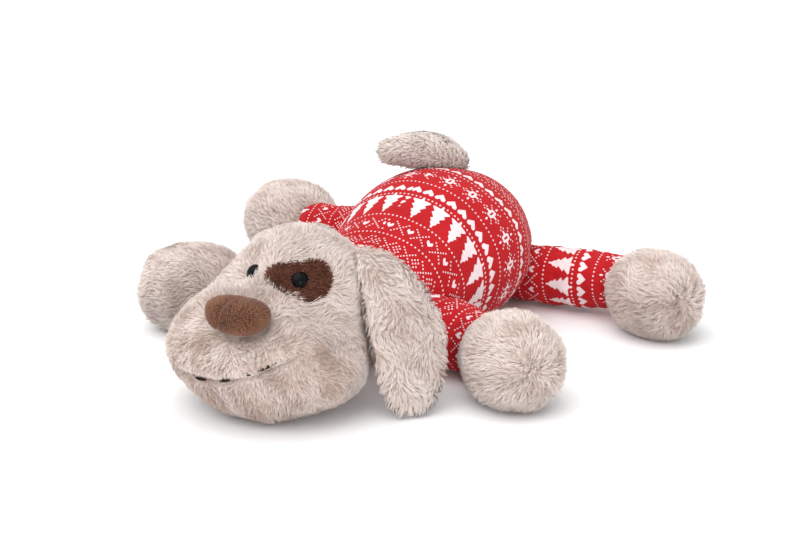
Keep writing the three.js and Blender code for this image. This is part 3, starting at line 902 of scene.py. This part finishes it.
# One repeat of each band: # for a white stitch, o for one that stays apart from its neighbours.
# Rows run from the head towards the rump or the paw.
CROSSES_AND_HEARTS = """
o.....o...
.o...o....
..o.o...#.
...o...###
..o.o..#.#
.o...o....
o.....o...
"""
TREES = """
....#.....
....#.....
...###....
...###....
..#####...
...###....
..#####...
.#######..
..#####...
.#######..
#########.
....#.....
"""
HEARTS = """
##.##.
#####.
.###..
..#...
"""
SNOWFLAKES = """
.....o......
..o..o..o...
...o...o....
....###.....
.o..#.#..o..
o.###.###.o.
.o..#.#..o..
....###.....
...o...o....
..o..o..o...
.....o......
"""
CROSSES_AND_DIAMONDS = """
o.....o...
.o...o..o.
..o.o..o.o
...o..o.o.
..o.o..o.o
.o...o..o.
o.....o...
"""
DOTS = "#."
BANDS = [  # each band with the blank rows before and after it
    (CROSSES_AND_HEARTS, 2, 2),
    (TREES, 1, 0),
    (HEARTS, 2, 3),
    (SNOWFLAKES, 2, 2),
    (HEARTS, 2, 3),
    (CROSSES_AND_DIAMONDS, 2, 2),
]


def band_rows():
    """Every row of one repeat of the print, as a list of how white each stitch is."""
    rows = []
    for motif, before, after in BANDS:
        lines = motif.split()
        blank = ["."]
        rows += [DOTS] + blank * before + lines + blank * after
    return [[{"#": 1.0, "o": 0.9}.get(mark, 0.0) for mark in line] for line in rows]


PRINT_ROWS = band_rows()


def printed(rows, columns):
    """How white the stitch at each row and column is, from 0 to 1."""
    result = np.zeros(np.broadcast(rows, columns).shape)
    rows, columns = np.broadcast_arrays(rows, columns)
    for number, line in enumerate(PRINT_ROWS):
        here = rows % len(PRINT_ROWS) == number
        result[here] = np.array(line, float)[columns[here] % len(line)]
    return result


def printed_object(name, points, marks, quads, uvs):
    """A jersey piece with one corner to each printed stitch. quads may repeat a corner."""
    used, inverse = np.unique(quads, return_inverse=True)
    points, marks = points[used], marks[used]
    quads = inverse.reshape(quads.shape)
    faces, face_uvs = [], []
    for quad, uv in zip(quads.tolist(), uvs.tolist()):
        corners, places = [], []
        for index, place in zip(quad, uv):
            if index not in corners:
                corners.append(index)
                places.append(place)
        even = marks[corners[0::2]].sum()
        odd = marks[corners[1::2]].sum()
        if len(corners) == 4 and even != odd:
            joined = max(even, odd) > 1.9 or min(even, odd) > 0
            first = 0 if (even > odd) == joined else 1
            order = [(first + k) % 4 for k in range(4)]
            for trio in ((order[0], order[1], order[2]), (order[0], order[2], order[3])):
                faces.append([corners[k] for k in trio])
                face_uvs += [places[k] for k in trio]
        elif len(corners) > 2:
            faces.append(corners)
            face_uvs += places
    mesh = bpy.data.meshes.new(name)
    mesh.from_pydata((points * MM).tolist(), [], faces)
    layer = mesh.uv_layers.new(name=BAKE_MAP)
    layer.data.foreach_set("uv", np.array(face_uvs, np.float32).ravel())
    attribute = mesh.attributes.new("print", "FLOAT", "POINT")
    attribute.data.foreach_set("value", np.array(marks, np.float32))
    mesh.update()
    mesh.shade_smooth()
    mesh.materials.append(JERSEY)
    return placed(name, mesh)


# ---------- torso ----------

def section_radius(y, angle):
    """Distance from the torso's core line to its surface, in the plane at y, at an angle from the top."""
    low = np.zeros_like(angle)
    high = np.full_like(angle, 200.0)
    for _ in range(34):
        radius = (low + high) / 2
        offset = np.stack([radius * np.sin(angle), y, radius * np.cos(angle)], -1)
        distance = np.linalg.norm(offset, axis=-1)
        direction = offset / np.maximum(distance, 1e-6)[..., None]
        inside = distance < soft_reach(direction, TORSO_HEART, TORSO_FORMS)
        low = np.where(inside, radius, low)
        high = np.where(inside, high, radius)
    floor = TORSO_HEART[2] / np.maximum(1e-6, -np.cos(angle))
    floor = np.where(np.cos(angle) < -0.02, floor, 1e4)
    radius = np.maximum(low, 0.01)
    return (radius ** -16 + floor ** -16) ** (-1 / 16)


def torso_detail(points):
    """Wrinkles and pulls of the stretched jersey, inwards from the smooth form."""
    centre_line = TORSO_HEART * np.array([1, 0, 1])
    outward = unit(points - centre_line - points * np.array([0, 1, 0]) * 0.7)
    pull = 0.6 * ripple(points, 46, 61) - 0.8
    for name in LIMBS:
        root, _, heading, _ = limb_frame(name)
        offset = points - root
        distance = np.linalg.norm(offset, axis=1)
        around = np.arctan2(offset[:, 2], offset[:, 1])
        pull += 1.1 * np.cos(7 * around) * bump(distance - 34, 14)
        pull -= 2.0 * bump(distance - 26, 8)
    neck = away_from(NECK_CENTRE, points)
    pull += 1.0 * np.cos(9 * np.arctan2(points[:, 0], points[:, 2] - 58)) * bump(neck - 45, 20)
    return above_floor(points + outward * pull[:, None])


TORSO_ENDS = (-134.9, 118.9)
PRINT_START = -84  # where along the torso the print's first row lies


def torso_sections():
    """Half sections of the torso one printed row apart: (row numbers, stations, x, z), from top to bottom."""
    fine = np.linspace(*TORSO_ENDS, 1200)
    outline = section_radius(fine, np.full_like(fine, math.pi / 2))
    run = np.concatenate([[0], np.cumsum(np.hypot(np.diff(fine), np.diff(outline)))])
    anchor = np.interp(PRINT_START, fine, run)
    rows = np.arange(-int(anchor / ROW_PITCH), int((run[-1] - anchor) / ROW_PITCH) + 1)
    stations = np.interp(anchor + rows * ROW_PITCH, run, fine)
    station_grid, angles = np.meshgrid(stations, np.linspace(0, math.pi, 361), indexing="ij")
    radius = section_radius(station_grid, angles)
    return rows, stations, radius * np.sin(angles), TORSO_HEART[2] + radius * np.cos(angles)


def build_torso():
    rows, stations, x, z = torso_sections()
    steps = np.hypot(np.diff(x, axis=1), np.diff(z, axis=1))
    arc = np.concatenate([np.zeros((len(stations), 1)), np.cumsum(steps, axis=1)], axis=1)
    below = z <= TORSO_SEAM_HEIGHT
    seam_index = np.where(below.any(1), below.argmax(1), x.shape[1] - 1)
    seam = arc[np.arange(len(stations)), seam_index]
    total = arc[:, -1]
    for panel, start, end in (("back", np.zeros_like(seam), seam), ("belly", seam, total)):
        span = end - start
        columns = int(np.ceil(span.max() / COLUMN_PITCH)) + 1
        reach = np.arange(columns)[None] * COLUMN_PITCH
        place = start[:, None] + np.minimum(reach, span[:, None])
        clamped = np.minimum(np.ceil(span / COLUMN_PITCH), columns - 1).astype(int)
        px = np.stack([np.interp(place[i], arc[i], x[i]) for i in range(len(stations))])
        pz = np.stack([np.interp(place[i], arc[i], z[i]) for i in range(len(stations))])
        half = np.stack([px, np.repeat(stations[:, None], columns, 1), pz], -1)
        index = np.arange(half[..., 0].size).reshape(half.shape[:2])
        index = np.take_along_axis(index, np.minimum(np.arange(columns)[None], clamped[:, None]), 1)
        quads, marks, uvs, points = [], [], [], []
        shifts = {"back": {1: 6, -1: 8}, "belly": {1: 2, -1: 5}}[panel]
        wide = 2 * columns + 2
        i, j = np.nonzero(np.arange(columns - 1)[None] < np.maximum(clamped[:-1], clamped[1:])[:, None])
        corners = np.stack([index[i, j], index[i, j + 1], index[i + 1, j + 1], index[i + 1, j]], 1)
        v = np.stack([i, i, i + 1, i + 1], 1) / len(stations)
        for side in (1, -1):
            near, far = 0.5 + side * j / wide, 0.5 + side * (j + 1) / wide
            uv = np.stack([np.stack([near, far, far, near], 1), v], -1)
            quads.append((corners + len(points) * index.size)[:, ::side])
            uvs.append(uv[:, ::side])
            points.append(torso_detail((half * [side, 1, 1]).reshape(-1, 3)))
            marks.append(printed(rows[:, None], np.arange(columns)[None] + shifts[side]).ravel())
        piece = printed_object(f"torso_jersey_{panel}", np.vstack(points), np.concatenate(marks),
                               np.vstack(quads), np.vstack(uvs))
        weld(piece, 2e-5)
        if panel == "back":
            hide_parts("torso_cover_back", "torso_filling")
        else:
            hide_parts("torso_cover_belly")
        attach(piece, "torso")


# ---------- sleeves and neck ----------

def tube(name, centres, radii, row_start, column_shift, seed, wrinkle=0.8):
    """A printed tube round a line of centres, closed at both ends."""
    centres = np.asarray(centres, float)
    rows = len(centres)
    columns = int(round(2 * math.pi * np.max(radii) / COLUMN_PITCH / 2) * 2)
    forward = unit(np.gradient(centres, axis=0))
    side = unit(np.cross(forward, UP))
    top = np.cross(side, forward)
    angle = 2 * math.pi * np.arange(columns) / columns
    points = centres[:, None] + np.asarray(radii)[:, None, None] * (
        np.cos(angle)[None, :, None] * top[:, None]
        + np.sin(angle)[None, :, None] * side[:, None]
    )
    outward = unit(points - centres[:, None])
    flat = points.reshape(-1, 3)
    folds = wrinkle * ripple(flat * np.array([1.0, 1.0, 0.6]), 18, seed)
    folds = folds + 0.5 * wrinkle * ripple(flat, 9, seed + 1)
    flat = flat + outward.reshape(-1, 3) * folds[:, None]
    flat = above_floor(flat)
    marks = printed(row_start + np.arange(rows)[:, None], np.arange(columns)[None] + column_shift).ravel()
    row, place = np.meshgrid(np.arange(rows - 1), np.arange(columns), indexing="ij")
    u = np.stack([place, place + 1, place + 1, place], -1) / columns
    v = np.stack([row, row, row + 1, row + 1], -1) / rows
    uvs = np.stack([u, v], -1).reshape(-1, 4, 2)
    base = len(flat)
    last = base - columns
    around = np.arange(columns)
    after = (around + 1) % columns
    near = np.stack([np.full(columns, base), np.full(columns, base), after, around], 1)
    far = np.stack([np.full(columns, base + 1), np.full(columns, base + 1), last + around, last + after], 1)
    caps = np.stack([near, far], 1).reshape(-1, 4)
    quads = np.vstack([ring_quads(rows, columns), caps])
    uvs = np.vstack([uvs, np.zeros((len(caps), 4, 2))])
    ends = np.vstack([centres[0], centres[-1]])
    piece = printed_object(name, np.vstack([flat, ends]), np.append(marks, [0.0, 0.0]), quads, uvs)
    weld(piece, 2e-5)
    return piece


SLEEVE_BURIED = 24  # how far a sleeve reaches into the torso and into its paw
SLEEVE_PRINT = {
    "front_left": (-26, 3),
    "front_right": (-26, 0),
    "hind_left": (-11, 3),
    "hind_right": (-50, 0),
}
SLEEVE_THIGH = {"front_left": 3, "front_right": 0, "hind_left": 0, "hind_right": 7}


def build_sleeves():
    for number, name in enumerate(LIMBS):
        root, wrist, heading, _ = limb_frame(name)
        axis = unit(wrist - root)
        length = np.linalg.norm(wrist - root)
        middle = length / 2
        halves = {
            "upper": (-SLEEVE_BURIED, middle + 1.2, "torso", f"limb_{name}", 0.0, min(24.0, middle)),
            "cuff": (middle - 1.2, length + SLEEVE_BURIED, f"limb_{name}", f"paw_{name}",
                     length - min(14.0, middle - 2), length + 4),
        }
        for half, (start, end, body_a, body_b, blend_start, blend_end) in halves.items():
            first = int(round((start + SLEEVE_BURIED) / ROW_PITCH))
            last = int(round((end + SLEEVE_BURIED) / ROW_PITCH))
            distance = np.arange(first, last + 1) * ROW_PITCH - SLEEVE_BURIED
            share = np.clip(distance / length, 0, 1)
            radius = SLEEVE_ROOT_RADIUS + (SLEEVE_CUFF_RADIUS - SLEEVE_ROOT_RADIUS) * share
            radius = radius + SLEEVE_BULGE * np.sin(math.pi * share)
            thigh = SLEEVE_THIGH[name] * smoothstep(0.9, 0.0, share)
            radius = radius + thigh
            radius = radius - 5 * smoothstep(length + 14, length + SLEEVE_BURIED, distance)
            centres = root + axis * distance[:, None] + UP * (0.8 * thigh)[:, None]
            row_start, shift = SLEEVE_PRINT[name]
            piece = tube(f"sleeve_{half}_{name}", centres, radius, first + row_start, shift, 71 + number)
            if half == "upper":
                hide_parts(f"sleeve_{name}", f"sleeve_filling_{name}")
            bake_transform(piece)


def build_neck():
    distance = np.arange(-34, 36, ROW_PITCH)
    centres = NECK_CENTRE + np.array([0, -1.0, 0]) * distance[:, None]
    radius = 36 + 6 * ((distance - 2) / 30) ** 2
    piece = tube("neck_jersey", centres, radius, 40, 0, 81)
    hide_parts("neck_cover", "neck_filling")
    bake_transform(piece)


# ---------- stage ----------

GLINT_PLACE = (0.95, -1.25, 0.3)
GLINT_AIM = (0.02, -0.24, 0.1)
CAMERA_AZIMUTH = math.radians(30)
CAMERA_ELEVATION = math.radians(18)
CAMERA_DISTANCE = 1.6
CAMERA_TARGET = Vector((-0.0949, 0.116, 0.0))


def build_stage():
    floor_material, tree, shader = new_material("studio_floor")
    set_sockets(shader, {"Base Color": (0.86, 0.86, 0.865, 1), "Roughness": 0.9})
    bpy.ops.mesh.primitive_plane_add(size=14, location=(0, 0, 0))
    floor = bpy.context.object
    floor.name = "studio_floor"
    floor.data.materials.append(floor_material)
    world = bpy.data.worlds.new("studio_world")
    world.use_nodes = True
    set_sockets(world.node_tree.nodes["Background"], {"Color": (1, 1, 1, 1), "Strength": 1.0})
    bpy.context.scene.world = world

    sun = bpy.data.lights.new("overhead_light", "SUN")
    sun.energy = 1.9
    sun.angle = math.radians(70)
    point_along(placed("overhead_light", sun), (0.30, 0.60, -1.45))
    glint = bpy.data.lights.new("eye_glint", "AREA")
    glint.shape = "DISK"
    glint.size = 0.12
    glint.energy = 5
    eye_glint = placed("eye_glint", glint)
    eye_glint.location = GLINT_PLACE
    point_along(eye_glint, Vector(GLINT_AIM) - Vector(GLINT_PLACE))
    bpy.context.scene.view_settings.view_transform = "Standard"
    bpy.context.scene.view_settings.look = "None"


def build_camera():
    back = Vector((
        math.sin(CAMERA_AZIMUTH) * math.cos(CAMERA_ELEVATION),
        -math.cos(CAMERA_AZIMUTH) * math.cos(CAMERA_ELEVATION),
        math.sin(CAMERA_ELEVATION),
    ))
    data = bpy.data.cameras.new("camera")
    data.lens = 72
    data.sensor_width = 36
    data.clip_end = 50
    camera = placed("camera", data)
    camera.location = CAMERA_TARGET + back * CAMERA_DISTANCE
    point_along(camera, -back)
    bpy.context.scene.camera = camera


build_camera()
build_stage()
build_torso()
build_neck()
build_sleeves()
build_head()
build_nose()
build_patch()
build_eyes()
build_mouth()
build_ears()
build_paws()
build_tail()
